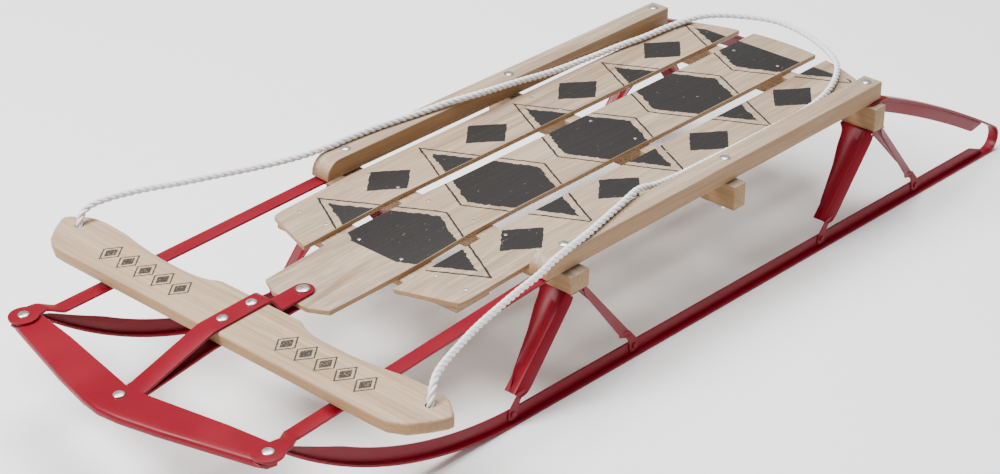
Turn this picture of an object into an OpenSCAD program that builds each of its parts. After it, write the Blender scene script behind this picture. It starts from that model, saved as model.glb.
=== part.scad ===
// Steering sled: a slatted wooden deck on two steel runners, with a steering bar and a tow rope.
// +Z up, front towards -Y, +X is the rider's left. The runners stand on z = 0 and the origin is
// the middle of the sled's footprint. Lengths are in millimetres.

/* [Deck] */
// Distance between two neighbouring crossbeams
bench_gap = 265; // [220:1:320]
// Long side of the crossbeam stock
bench_tall = 29; // [24:0.5:36]
// Short side of the crossbeam stock
bench_thin = 20; // [16:0.5:23]
// Half the length of a crossbeam
bench_half = 183; // [178:1:195]
// Thickness of the deck slats
slat_t = 6; // [4:0.5:8]
// Half the width of the centre slat
centre_half = 47; // [40:1:52]
// Gap between the centre slat and an outer slat
slat_gap = 18; // [10:1:24]
// Distance from the middle to a deck slat's outer edge
deck_half = 138; // [110:1:140]
// How far the centre slat runs past the rear crossbeam
deck_past = 61; // [45:1:75]
// Radius of the arc that rounds the rear of the deck
deck_arc = 290; // [240:5:500]
// How far the noses of the slats bend down in front of the crossbeam, in degrees
nose_bend = 2.5; // [2:0.1:3]

/* [Rails] */
// Distance from the middle to a rail's bolts
rail_x = 160; // [158:1:164]
// Width of a side rail
rail_w = 26; // [18:1:28]
// Height of a side rail
rail_h = 22; // [18:1:30]
// Length of rail in front of its first bolt
rail_front = 40; // [32:1:48]
// Length of rail behind its last bolt
rail_rear = 14; // [13:1:18]
// Shank diameter of the rail bolts
bolt_d = 6; // [4:0.5:7]
// Head diameter of the rail bolts
bolt_head_d = 12; // [9:0.5:13]

/* [Runners] */
// Distance from the middle to a runner's web
runner_x = 177.2; // [175:0.2:180]
// Width of the runner's sole flange
flange_w = 13.6; // [10:0.2:15]
// Thickness of the sole flange and of every flat strap
strap_t = 2.8; // [2:0.1:3.4]
// Thickness of the runner's web
web_t = 2.4; // [1.6:0.1:3.2]
// Height of the runner from sole to web edge
runner_h = 18; // [14:0.5:22]
// Radius of the front upsweep
sweep_r = 530; // [480:5:620]
// Outer radius of the rear U-turn
turn_r = 19; // [16:0.5:24]
// How far a runner runs past the rear crossbeam
runner_past = 274; // [240:1:330]

/* [Knees] */
// Height of the knee saddles above the ground
knee_h = 120; // [110:1:145]
// Half the distance between the two feet of a knee
knee_foot = 96; // [86:1:105]
// Sheet thickness of a knee
knee_t = 2; // [1.5:0.1:2.4]
// Length of a knee's saddle across the sled
saddle_w = 46; // [40:1:50]

/* [Steering] */
// Distance from the front crossbeam to the steering pivot
pivot_back = 215; // [205:1:225]
// Distance from the steering pivot to the bumper's centre pin
steer_reach = 239; // [232:1:250]
// Distance from the middle to a bumper corner rivet
corner_x = 180; // [178:1:182]
// How far the corner rivets sit behind the centre pin
corner_set = 26.5; // [24:0.5:29]
// Half the length of the steering bar
bar_half = 284; // [276:1:310]
// Thickness of the steering bar
bar_t = 15; // [12:0.5:18]
// Distance from the middle to a rope hole
hole_x = 256; // [240:1:260]
// Diameter of a rope hole
hole_d = 10; // [9:0.5:12]
// Width of the two centre straps
centre_strap_w = 24; // [20:1:30]
// Width of a side strap
side_strap_w = 18; // [14:1:20]
// Thickness of the bumper sheet
bumper_t = 2.5; // [1.5:0.1:2.8]
// Depth of the bumper's turned-down lip
bumper_lip = 9; // [6:0.5:12]

/* [Fits] */
// Gap between faces that slide over each other
slide_gap = 0.3; // [0.2:0.05:0.5]
// Radial clearance of a running pin
pin_gap = 0.05; // [0.02:0.01:0.1]
// Radial clearance of the open corner pivots, and the gap at the flex seams
corner_gap = 0.4; // [0.3:0.05:0.5]
// Radial clearance of a bolt or nail that only clamps
bolt_gap = 0.2; // [0.1:0.05:0.4]

/* [Rope] */
// Diameter of the tow rope
rope_d = 8; // [6:0.5:8]

/* [Hidden] */
$fn = 48;

wood = [0.84, 0.74, 0.6];
red = [0.78, 0.12, 0.18];
zinc = [0.78, 0.79, 0.8];
white = [0.95, 0.95, 0.93];

// The crossbeams are one stock: flat at the front and on edge behind, which tilts the deck.
bench_ys = [0, bench_gap, 2 * bench_gap];
bench_hs = [bench_thin, bench_tall, bench_tall];
bench_ws = [bench_tall, bench_thin, bench_thin];
rear_y = 2 * bench_gap;
deck_rear = rear_y + deck_past;
runner_rear = rear_y + runner_past;
deck_tilt = atan((bench_tall - bench_thin) / rear_y);
deck_h = knee_h + bench_thin;
rail_top = strap_t + rail_h;
rail_nose_r = 20;

// The steering plane is the bent-down nose of the centre slat, with its origin at the pivot.
bend_y = -bench_tall / 2 - 1;
nose_run = pivot_back + bend_y;
slat_nose = -pivot_back - 19;
outer_nose_in = -153;
outer_nose_out = -130;
outer_in = centre_half + slat_gap;
cleat_y = -106;
cleat_w = 48;
cleat_t = 8;

// Levels in the steering plane, up from the top of the centre slat.
bar_z = 2;
bumper_top = -1;
bumper_low = bumper_top - bumper_t;
side_strap_z = -slat_t;
lobe_z = bumper_top + slide_gap;
tip_top = bumper_low - slide_gap;
upper_front_z = tip_top - strap_t;
lower_front_z = upper_front_z - strap_t;
lower_mid_z = bar_z - strap_t;
lower_rear_z = -slat_t - slide_gap - strap_t;
upper_rear_z = slide_gap;
head_h = 2.4;
head_edge = 0.5;

// The steering bar and the bumper in the steering plane.
bar_front = -124;
bar_rear = -55;
hole_y = -79;
bar_rivet_ys = [-106, -68];
corner_y = corner_set - steer_reach;
bumper_apex = -steer_reach - 28;
lobe_r = side_strap_w / 2 + 7;

// The front of each runner and side strap swings about a flex axis that makes an exact
// parallelogram with the steering pivot, the centre pin and the corner rivet.
flex_y = corner_set;
runner_seam_r = 13;
strap_seam_r = 28;

rivet_d = 6;
pivot_d = 8;
pivot_head_d = 15;
nut_h = 5;
nail_d = 2.2;
nail_head_d = 5;
nail_head_h = 0.9;
// How deep a nail's head is sunk, so that the deck's top is flat
nail_set = 1;

// Turns a point [y, z] by an angle.
function turn(p, a) = [p[0] * cos(a) - p[1] * sin(a), p[0] * sin(a) + p[1] * cos(a)];

// [y, z] of a deck point, and of a steering plane point, seen from below the front bolt.
function on_deck(p) = [0, deck_h] + turn(p, deck_tilt);
function on_steer(p) = on_deck([bend_y, slat_t] + turn([p[0] - nose_run, p[1]], nose_bend));

// The footprint's middle, seen from the front bolt.
mid_y = (runner_rear + on_steer([bumper_apex, bumper_top])[0]) / 2;

function arc(c, r, from, to, n) =
    [for (i = [0:n]) c + r * [cos(from + (to - from) * i / n), sin(from + (to - from) * i / n)]];
function curve(a, b, c, n) =
    [for (i = [0:n]) let (t = i / n) a * pow(1 - t, 2) + 2 * b * t * (1 - t) + c * t * t];
function rest(list) = [for (i = [1:len(list) - 1]) list[i]];
function backwards(list) = [for (i = [len(list) - 1:-1:0]) list[i]];
function mirrored(list) = concat(list, [for (p = backwards(list)) [-p[0], p[1]]]);

// A point of a line moved to its left by d, mitred between its two neighbours.
function unit(v) = v / norm(v);
function left_of(line, i, d) =
    let (a = unit(line[max(i, 1)] - line[max(i, 1) - 1]),
         b = unit(line[min(i + 1, len(line) - 1)] - line[min(i, len(line) - 2)]),
         n = unit([-a[1] - b[1], a[0] + b[0]]))
    line[i] + n * d / (n * [-a[1], a[0]]);
// The outline between two parallels of a line, d0 and d1 to its left.
function band(line, d0, d1) = concat(
    [for (i = [0:len(line) - 1]) left_of(line, i, d0)],
    [for (i = [len(line) - 1:-1:0]) left_of(line, i, d1)]);

// Places things in the deck's plane, and in the steering plane.
module in_deck() translate([0, -mid_y, deck_h]) rotate([deck_tilt, 0, 0]) children();
module in_nose() in_deck() translate([0, bend_y, slat_t]) rotate([nose_bend, 0, 0]) children();
module in_steer() in_nose() translate([0, -nose_run, 0]) children();
// Left as drawn, or the mirror image for the right.
module on_side(side) {
    if (side > 0) children();
    else mirror([1, 0, 0]) children();
}
// An outline in [y, z] drawn out across the sled, from x0 over a width w.
module across(x0, w) translate([x0, 0, 0]) rotate([90, 0, 90]) linear_extrude(w) children();
module peg(d, from, to) translate([0, 0, from]) cylinder(d = d, h = to - from);
// A domed head that stands on z.
module dome(d, z, h = head_h) {
    translate([0, 0, z]) rotate_extrude()
        polygon(concat([[0, 0], [d / 2, 0]],
            [for (a = [0:15:90]) [d / 2 * cos(a), head_edge + (h - head_edge) * sin(a)]]));
}
module nut(d, z, h) {
    translate([0, 0, z]) difference() {
        cylinder(d = 2 * d, h = h, $fn = 6);
        translate([0, 0, -1]) cylinder(d = d, h = h + 2);
    }
}

// ---- deck slats ----

// Two brads for a slat at each crossbeam, and two at the cleat, as [x, y].
function brads(x0, x1) = [for (x = [x0 + 14, x1 - 14], y = bench_ys) [x, y]];
function cleat_brads(x0, x1) = [for (x = [x0 + 16, x1 - 16]) [x, cleat_y - bend_y]];
module brad_holes(x0, x1) {
    head = nail_head_d + 2 * bolt_gap;
    in_deck() for (p = brads(x0, x1)) translate(p) {
        peg(nail_d, -6, slat_t + 1);
        peg(head, slat_t - nail_set, slat_t + 1);
    }
    in_nose() for (p = cleat_brads(x0, x1)) translate(p) {
        peg(nail_d, -slat_t - 6, 1);
        peg(head, -nail_set, 1);
    }
}

// One outline, flat over the crossbeams and bent down in front of them.
module slat(outline, x0, x1) {
    nose_drop = (bend_y - slat_nose + 9) * tan(nose_bend);
    top_line = [[slat_nose - 9, slat_t - nose_drop], [bend_y, slat_t], [deck_rear + 9, slat_t]];
    difference() {
        in_deck() intersection() {
            across(-deck_half, 2 * deck_half) polygon(band(top_line, -slat_t, 0));
            translate([0, 0, -40]) linear_extrude(80) polygon(outline);
            translate([0, deck_rear - deck_arc, -40]) {
                cylinder(r = deck_arc, h = 80, $fn = 96);
                translate([-deck_arc, -deck_rear - 99, 0]) cube([2 * deck_arc, deck_rear + 99, 80]);
            }
        }
        brad_holes(x0, x1);
    }
}
module slat_centre() {
    nose_half = centre_half + 4;
    outline = mirrored([[25, slat_nose], [centre_half, slat_nose + 11], [nose_half, -133],
        [nose_half, -85], [centre_half, 60], [centre_half, deck_rear + 9]]);
    color(wood) difference() {
        slat(outline, -centre_half, centre_half);
        in_steer() peg(pivot_d + 2 * bolt_gap, -slat_t - 1, 1);
    }
}
module slat_outer(side) {
    corner = 20;
    outline = [[outer_in, outer_nose_in], [deck_half - 2, outer_nose_out],
        [deck_half, outer_nose_out + 12], [deck_half, rear_y + 10],
        [deck_half - corner * 0.3, rear_y + 10 + corner * 0.7],
        [deck_half - corner, deck_rear + 9], [outer_in, deck_rear + 9]];
    color(wood) on_side(side) slat(outline, outer_in, deck_half);
}
module front_cleat() {
    half = deck_half - 6;
    color(wood) difference() {
        in_nose() translate([-half, cleat_y - cleat_w / 2 - bend_y, -slat_t - cleat_t])
            cube([2 * half, cleat_w, cleat_t]);
        brad_holes(-centre_half, centre_half);
        brad_holes(outer_in, deck_half);
        mirror([1, 0, 0]) brad_holes(outer_in, deck_half);
    }
}

// ---- crossbeams, rails and what bolts them ----

module rail_bolt_holes(from, to, ys = bench_ys) {
    in_deck() for (side = [-1, 1], y = ys) translate([side * rail_x, y]) {
        peg(bolt_d + 2 * bolt_gap, from, to);
    }
}
// The underside is cut level, to stand on the knees.
module bench(i) {
    color(wood) difference() {
        in_deck() translate([-bench_half, bench_ys[i] - bench_ws[i] / 2, -bench_hs[i] - 1])
            cube([2 * bench_half, bench_ws[i], bench_hs[i] + 1]);
        if (i != 1) translate([-bench_half - 1, bench_ys[i] - mid_y - bench_tall, knee_h - 9])
            cube([2 * bench_half + 2, 2 * bench_tall, 9]);
        if (i == 1) in_deck() translate([-bench_half - 1, bench_ys[i] - bench_tall, -bench_hs[i] - 9])
            cube([2 * bench_half + 2, 2 * bench_tall, 9]);
        rail_bolt_holes(-bench_tall - 9, 9, [bench_ys[i]]);
        brad_holes(-centre_half, centre_half);
        brad_holes(outer_in, deck_half);
        mirror([1, 0, 0]) brad_holes(outer_in, deck_half);
    }
}
module rail(side) {
    front = -rail_front;
    profile = concat([[front, strap_t], [rear_y + rail_rear, strap_t],
        [rear_y + rail_rear, rail_top]],
        arc([front + rail_nose_r, rail_top - rail_nose_r], rail_nose_r, 90, 180, 8));
    color(wood) on_side(side) difference() {
        in_deck() across(rail_x - rail_w / 2, rail_w) polygon(profile);
        rail_bolt_holes(0, rail_top + 9);
    }
}
module rail_spacers() {
    color(zinc) in_deck() for (side = [-1, 1]) translate([side * rail_x, bench_gap]) difference() {
        peg(3 * bolt_d, 0, strap_t);
        peg(bolt_d + 2 * bolt_gap, -1, strap_t + 1);
    }
}
// The rear and front bolts also clamp a knee's saddle; the middle ones only the crossbeam.
function nut_top(i) = -bench_hs[i] - (i == 1 ? 0 : knee_t + 0.3);
module rail_bolts() {
    color(zinc) in_deck() for (side = [-1, 1], i = [0:2]) translate([side * rail_x, bench_ys[i]]) {
        peg(bolt_d, nut_top(i) - nut_h - 2, rail_top + 0.1);
        dome(bolt_head_d, rail_top);
    }
}
module rail_nuts() {
    color(zinc) in_deck() for (side = [-1, 1], i = [0:2]) translate([side * rail_x, bench_ys[i]])
        nut(bolt_d, nut_top(i) - nut_h, nut_h);
}
module slat_nails() {
    spans = [[-centre_half, centre_half], [outer_in, deck_half], [-deck_half, -outer_in]];
    color(zinc) for (s = spans) {
        in_deck() for (p = brads(s[0], s[1])) translate(p) {
            peg(nail_d - 0.1, -5, slat_t - nail_set + 0.1);
            dome(nail_head_d, slat_t - nail_set, nail_head_h);
        }
        in_nose() for (p = cleat_brads(s[0], s[1])) translate(p) {
            peg(nail_d - 0.1, -slat_t - 5, 0.1 - nail_set);
            dome(nail_head_d, -nail_set, nail_head_h);
        }
    }
}

// ---- knees ----

// One knee, centred on its crossbeam: a saddle, two sloping legs with a widening side flange,
// and two flat feet against the runner's web.
saddle_half = bench_tall / 2 - 1.5;
leg_end = [knee_foot + 6, 18];
leg_angle = atan2(leg_end[0] - saddle_half, knee_h - leg_end[1]);
leg_len = norm(leg_end - [saddle_half, knee_h]);
web_face = runner_x + web_t / 2;
flange_out = 5;
// Depth of a leg's side flange near the ground and near the saddle
flange_low = 13;
flange_high = 9;
ridge_in = 3;

// [x, y, z] of a leg point: across the sled, out of the leg's face, and down along the leg.
function leg_pt(x, out, down) =
    let (p = [saddle_half, knee_h] + turn([out, -down], leg_angle)) [x, p[0], p[1]];
module knee_leg() {
    x_in = bench_half - saddle_w;
    ridge = web_face - ridge_in;
    flange = web_face + flange_out;
    face = concat([[x_in, 0]], curve([x_in + 2, -4], [x_in + 8, -8], [x_in + 9, -24], 4),
        [[x_in + 17, -0.38 * leg_len], [x_in + 23, -0.7 * leg_len], [x_in + 31, -0.84 * leg_len],
        [ridge, -0.86 * leg_len], [ridge, 0]]);
    translate([0, saddle_half, knee_h]) rotate([leg_angle, 0, 0]) rotate([90, 0, 0])
        linear_extrude(knee_t) polygon(face);
    outer = [leg_pt(ridge, 0, 1), leg_pt(ridge, 0, 0.86 * leg_len),
        leg_pt(flange, -flange_low, 0.78 * leg_len), leg_pt(flange - 1, -flange_high, 5)];
    inner = [for (p = outer) p - [knee_t * 0.7, 0, 0] - leg_pt(0, 0, 0) + leg_pt(0, -knee_t * 0.7, 0)];
    quads = [[0, 1, 2, 3], [7, 6, 5, 4], [1, 0, 4, 5], [2, 1, 5, 6], [3, 2, 6, 7], [0, 3, 7, 4]];
    polyhedron(concat(outer, inner), [for (q = quads) each [[q[0], q[1], q[2]], [q[0], q[2], q[3]]]]);
}
module knee_foot_tab() {
    ankle = leg_pt(0, 0, 0.84 * leg_len);
    across(web_face, knee_t) polygon([[ankle[1], ankle[2]], leg_end, [knee_foot + 7, 8],
        [knee_foot + 4, 5], [knee_foot - 4, 5], [knee_foot - 7, 8], [knee_foot - 10, 22],
        [knee_foot - 14, 28], [knee_foot - 24, 30], [knee_foot - 26, 36]]);
}
module knee(side, i) {
    color(red) on_side(side) difference() {
        translate([0, bench_ys[i] - mid_y, 0]) {
            translate([bench_half - saddle_w, -saddle_half, knee_h - knee_t])
                cube([saddle_w - 1, 2 * saddle_half, knee_t]);
            for (way = [0, 1]) mirror([0, way, 0]) {
                intersection() {
                    knee_leg();
                    cube([bench_half, 2 * knee_foot, knee_h]);
                }
                knee_foot_tab();
            }
        }
        rail_bolt_holes(-bench_tall - 9, 0, [bench_ys[i]]);
    }
}
module knee_welds() {
    color(red) for (side = [-1, 1], y = [0, rear_y], way = [-1, 1])
        translate([side * (web_face + knee_t), y - mid_y + way * knee_foot, 12.5])
            rotate([0, side * 90, 0]) dome(7, 0, 1.6);
}

// ---- runners ----

// The outer face of a runner from its tip to its tab, as [y, z] seen from the front bolt.
tip_bend = on_steer([corner_y + 15, tip_top - strap_t]);
sweep_y = tip_bend[0] + sqrt(pow(sweep_r, 2) - pow(sweep_r - tip_bend[1], 2));
sweep_a = atan2(tip_bend[1] - sweep_r, tip_bend[0] - sweep_y);
turn_y = runner_rear - turn_r;
tab_end = on_deck([rear_y + 20, strap_t]);
turn_exit = 60;
turn_end = [turn_y, turn_r] + turn_r * [cos(turn_exit), sin(turn_exit)];
return_lead = 0.5 * norm(tab_end - turn_end);
tip_line = concat([on_steer([corner_y - 14, tip_top - strap_t])],
    arc([sweep_y, sweep_r], sweep_r, sweep_a, -90, 14));
sole_line = concat(tip_line, [[turn_y, 0]]);
turn_line = arc([turn_y, turn_r], turn_r, -90, turn_exit, 10);
return_line = curve(turn_end, turn_end + return_lead * [-sin(turn_exit), cos(turn_exit)], tab_end, 8);
web_end = turn_y - 12;
// The return leans inwards from the U-turn to the rail.
return_lean = atan((runner_x - rail_x - 8) / (turn_y - rear_y));
tab_w = 26;

module flange(line) across(runner_x - flange_w / 2, flange_w) polygon(band(line, 0, strap_t));
module web(line) across(runner_x - web_t / 2, web_t) polygon(band(line, strap_t - 0.1, runner_h));
module runner_back() {
    translate([runner_x, turn_y, 0]) rotate([0, 0, -return_lean]) translate([-runner_x, -turn_y, 0]) {
        flange(concat([[turn_y - 1, 0]], turn_line, rest(return_line)));
        difference() {
            web(return_line);
            translate([runner_x - web_t, 0, 0]) cube([2 * web_t, rear_y + bench_thin / 2 + 3, 999]);
            translate([runner_x - web_t, turn_y - 14, 0]) cube([2 * web_t, 99, 99]);
        }
    }
}
module runner_tab() {
    tab_x = rail_x + 3;
    in_deck() difference() {
        union() {
            translate([tab_x, rear_y, 0]) cylinder(d = tab_w, h = strap_t);
            translate([tab_x - tab_w / 2, rear_y, 0]) cube([tab_w, 22, strap_t]);
        }
        translate([rail_x, rear_y]) peg(bolt_d + 2 * bolt_gap, -1, strap_t + 1);
    }
}
// Everything from the tip to the tab, as one piece seen from the front bolt.
module whole_runner() {
    translate([0, -mid_y, 0]) {
        flange(sole_line);
        difference() {
            web(concat(rest(rest(tip_line)), [[web_end, 0]]));
            translate([runner_x - web_t, tip_bend[0] - 9, tip_bend[1] - 1]) cube([2 * web_t, 99, 99]);
        }
        runner_back();
    }
    runner_tab();
}
// The space in front of the flex axis, with a round end about it.
module ahead_of_flex(r) {
    in_steer() translate([corner_x, flex_y, -400]) {
        cylinder(r = r, h = 800, $fn = 96);
        translate([-99, -400, 0]) cube([198, 400, 800]);
    }
}
// Behind the flex axis a runner is cut where its bends begin and end. The rise, the straight sole,
// the turn and the return are one bar, so they meet face to face.
far = 999;
module runner_piece(side, from, to, low, high) {
    color(red) on_side(side) intersection() {
        whole_runner();
        translate([0, from - mid_y, low]) cube([far, to - from, high - low]);
    }
}
module runner(side) runner_piece(side, sweep_y, turn_y, -1, turn_r);
module runner_turn(side) runner_piece(side, turn_y, far, -1, far);
module runner_return(side) runner_piece(side, 0, turn_y, turn_r, far);
module runner_rise(side) {
    color(red) difference() {
        runner_piece(side, -far, sweep_y, -1, far);
        on_side(side) ahead_of_flex(runner_seam_r + corner_gap);
    }
}
module runner_tip(side) {
    color(red) on_side(side) difference() {
        intersection() {
            whole_runner();
            ahead_of_flex(runner_seam_r);
        }
        in_steer() translate([corner_x, corner_y]) peg(rivet_d, -30, 9);
        in_steer() translate([corner_x - 20, corner_y - 40, -30]) cube([40, 40 - rivet_d * 1.6, 99]);
    }
}

// ---- side straps ----

// A side strap: a tail under the rail, a run outwards, a joggle down and a round lobe.
strap_tail = 16;
joggle_y = corner_y + 22;
joggle_end = joggle_y + 14;
joggle_in = 10;
module side_strap_shape() {
    half = side_strap_w / 2;
    in_deck() translate([rail_x - half, bend_y - 0.1, 0])
        cube([side_strap_w, strap_tail - bend_y, strap_t]);
    in_steer() intersection() {
        across(0, 2 * corner_x) polygon(band([[corner_y - 30, lobe_z], [joggle_y, lobe_z],
            [joggle_end, side_strap_z], [nose_run, side_strap_z]], 0, strap_t));
        translate([0, 0, -20]) linear_extrude(40) union() {
            polygon([[rail_x - half, nose_run], [corner_x - joggle_in - half, joggle_end],
                [corner_x - half, joggle_y], [corner_x - half, corner_y],
                [corner_x + half, corner_y], [corner_x + half, joggle_y],
                [corner_x - joggle_in + half, joggle_end], [rail_x + half, nose_run]]);
            translate([corner_x, corner_y]) circle(lobe_r);
        }
    }
}
module side_strap(side) {
    color(red) on_side(side) difference() {
        side_strap_shape();
        ahead_of_flex(strap_seam_r + corner_gap);
        rail_bolt_holes(-1, strap_t + 1, [0]);
    }
}
module strap_tip(side) {
    color(red) on_side(side) difference() {
        intersection() {
            side_strap_shape();
            ahead_of_flex(strap_seam_r);
        }
        in_steer() translate([corner_x, corner_y]) peg(rivet_d, -9, 9);
    }
}
module corner_rivet(side) {
    color(zinc) on_side(side) in_steer() translate([corner_x, corner_y]) {
        peg(rivet_d, tip_top - strap_t - 1, lobe_z + strap_t + 0.1);
        dome(2 * rivet_d, lobe_z + strap_t);
        mirror([0, 0, 1]) dome(2 * rivet_d, strap_t - tip_top, 1.6);
    }
}

// ---- bumper ----

function bumper_outline(inset) = [[corner_x + 9 - inset, corner_y + 10],
    [corner_x + 9 - inset, corner_y - 14 + inset * 0.6], [134, corner_y - 27 + inset],
    [84, corner_y - 36 + inset], [64, corner_y - 43.5 + inset], [0, bumper_apex + inset]];
module bumper() {
    inner = [[0, corner_y - 12], [107, corner_y + 8], [162, corner_y + 14], [corner_x, corner_y + 16]];
    lip = bumper_t;
    color(red) in_steer() difference() {
        union() {
            translate([0, 0, bumper_low]) linear_extrude(bumper_t)
                polygon(mirrored(concat(inner, bumper_outline(0))));
            translate([0, 0, bumper_top - bumper_lip]) linear_extrude(bumper_lip) difference() {
                polygon(mirrored(bumper_outline(0)));
                polygon(mirrored(concat([[corner_x + 20, corner_y + 60], [corner_x + 20, corner_y - 13]],
                    bumper_outline(lip))));
            }
        }
        for (side = [-1, 1]) translate([side * corner_x, corner_y])
            peg(rivet_d + 2 * corner_gap, -20, 9);
        translate([0, -steer_reach]) peg(rivet_d + 2 * pin_gap, -20, 9);
    }
}

// ---- steering bar, its straps and pins ----

module steering_bar() {
    half = concat([[0, bar_rear], [55, bar_rear]], curve([62, bar_rear - 2], [75, bar_rear - 11],
        [105, bar_rear - 11], 4), curve([135, bar_rear - 11], [170, bar_rear - 9], [205, bar_rear - 2], 4),
        [[240, bar_rear - 1]], curve([250, bar_rear - 2], [bar_half - 6, bar_rear - 7], [bar_half, bar_rear - 24], 5),
        curve([bar_half, bar_rear - 32], [bar_half - 8, bar_front + 10], [bar_half - 44, bar_front], 6));
    color(wood) in_steer() translate([0, 0, bar_z]) difference() {
        linear_extrude(bar_t) polygon(mirrored(half));
        for (side = [-1, 1]) translate([side * hole_x, hole_y]) peg(hole_d, -1, bar_t + 1);
        for (y = bar_rivet_ys) translate([0, y]) peg(rivet_d, -1, bar_t + 1);
    }
}
// A centre strap bent along a line of its underside, with both ends rounded.
module centre_strap(line) {
    r = centre_strap_w / 2;
    color(red) in_steer() difference() {
        intersection() {
            across(-r, centre_strap_w) polygon(band(line, 0, strap_t));
            translate([0, 0, -30]) linear_extrude(90) union() {
                circle(r);
                translate([0, -steer_reach]) circle(r);
                translate([-r, -steer_reach]) square([centre_strap_w, steer_reach]);
            }
        }
        peg(pivot_d + 2 * pin_gap, -30, 30);
        for (y = bar_rivet_ys) translate([0, y]) peg(rivet_d, -30, 60);
        translate([0, -steer_reach]) peg(rivet_d, -30, 30);
    }
}
module centre_strap_upper() {
    top = bar_z + bar_t;
    centre_strap([[-steer_reach - 20, upper_front_z], [-steer_reach + 24, upper_front_z],
        [bar_front - 3, top], [bar_rear + 3, top], [bar_rear + 13, upper_rear_z], [20, upper_rear_z]]);
}
module centre_strap_lower() {
    centre_strap([[-steer_reach - 20, lower_front_z], [-steer_reach + 28, lower_front_z],
        [bar_front - 3, lower_mid_z], [bar_rear + 3, lower_mid_z], [bar_rear + 13, lower_rear_z],
        [20, lower_rear_z]]);
}
module bar_rivets() {
    color(zinc) in_steer() for (y = bar_rivet_ys) translate([0, y]) {
        peg(rivet_d, lower_mid_z - 1, bar_z + bar_t + strap_t + 0.1);
        dome(2 * rivet_d, bar_z + bar_t + strap_t);
        mirror([0, 0, 1]) dome(2 * rivet_d, -lower_mid_z, 1.6);
    }
}
module bumper_pin() {
    color(zinc) in_steer() translate([0, -steer_reach]) {
        peg(rivet_d, lower_front_z - 1, bumper_top + slide_gap + 0.1);
        dome(2 * rivet_d, bumper_top + slide_gap);
        mirror([0, 0, 1]) dome(2 * rivet_d, -lower_front_z, 1.6);
    }
}
module pivot_bolt() {
    head_z = upper_rear_z + strap_t + slide_gap;
    color(zinc) in_steer() {
        peg(pivot_d, lower_rear_z - slide_gap - nut_h - 2, head_z + 0.1);
        dome(pivot_head_d, head_z);
    }
}
module pivot_nut() color(zinc) in_steer() nut(pivot_d, lower_rear_z - slide_gap - nut_h, nut_h);

// ---- tow rope ----

// The middle of the rope, as [x, y, z] in the deck's plane: up through the right hole of the
// bar, along the right rail, round the rear of the deck, over the left rail and down again.
right_span = [[-256, -294, -4], [-256, -294, 12], [-257, -285, 25], [-254, -262, 29],
    [-243, -222, 29], [-226, -180, 28], [-209, -139, 28], [-192, -97, 28], [-177, -55, 29]];
deck_span = [[-177, -55, 29], [-171, -15, 29], [-170, 15, 29], [-166, 60, 29], [-157, 117, 29],
    [-150, 156, 30], [-142, 198, 29], [-142, 260, 22], [-141, 320, 15], [-140, 390, 11],
    [-136, 440, 11], [-131, 480, 11], [-128, 530, 11], [-117, 578, 11], [-88, 612, 9],
    [-42, 632, 8], [12, 622, 8], [65, 592, 11], [97, 562, 11], [123, 510, 11], [136, 447, 11],
    [136, 368, 11], [135, 300, 11], [133, 235, 11], [134, 205, 13], [138, 172, 19],
    [141, 150, 26], [145, 132, 30], [149, 114, 30], [157, 76, 29], [167, 32, 29], [174, -7, 29],
    [180, -38, 29]];
left_span = [[180, -38, 29], [187, -67, 28], [193, -100, 28], [200, -135, 28], [210, -179, 28],
    [222, -217, 29], [238, -262, 29], [250, -284, 26], [256, -294, 12], [256, -294, -4]];
rope_sides = 8;
rope_step = 30;

// A smooth line through points: each stretch is cut into steps of about rope_step.
function spline(a, b, c, d, t) = 0.5 * (2 * b + (c - a) * t + (2 * a - 5 * b + 4 * c - d) * t * t
    + (3 * b - a - 3 * c + d) * t * t * t);
function smooth(p) = concat([for (i = [0:len(p) - 2])
    let (n = ceil(norm(p[i + 1] - p[i]) / rope_step)) for (k = [0:n - 1])
    spline(p[max(i - 1, 0)], p[i], p[i + 1], p[min(i + 2, len(p) - 1)], k / n)], [p[len(p) - 1]]);
rope_line = smooth(concat(right_span, rest(deck_span), rest(left_span)));
right_end = len(smooth(right_span)) - 1;
deck_end = right_end + len(smooth(deck_span)) - 1;

// A ring of the rope's skin, square to the rope.
function rope_ring(i) =
    let (ahead = rope_line[min(i + 1, len(rope_line) - 1)], behind = rope_line[max(i - 1, 0)],
         d = unit(ahead - behind), side = unit(cross(d, abs(d[2]) > 0.8 ? [0, 1, 0] : [0, 0, 1])),
         up = cross(side, d))
    [for (k = [0:rope_sides - 1]) let (a = 360 * k / rope_sides)
        rope_line[i] + rope_d / 2 * (side * cos(a) + up * sin(a))];
module rope(first, last) {
    rings = [for (i = [first:last]) rope_ring(i)];
    end = (last - first) * rope_sides;
    skin = [for (i = [0:last - first - 1], k = [0:rope_sides - 1])
        let (a = i * rope_sides + k, b = i * rope_sides + (k + 1) % rope_sides)
        each [[a, b, b + rope_sides], [a, b + rope_sides, a + rope_sides]]];
    color(white) in_deck() polyhedron([for (r = rings) each r], concat(skin,
        [[for (k = [rope_sides - 1:-1:0]) k], [for (k = [0:rope_sides - 1]) end + k]]));
}
module rope_right() rope(0, right_end);
module rope_deck() rope(right_end, deck_end);
module rope_left() rope(deck_end, len(rope_line) - 1);
module rope_knots() {
    color(white) in_steer() for (side = [-1, 1]) translate([side * hole_x, hole_y, bar_z - rope_d - 0.2])
        sphere(d = 2 * rope_d);
}

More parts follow.
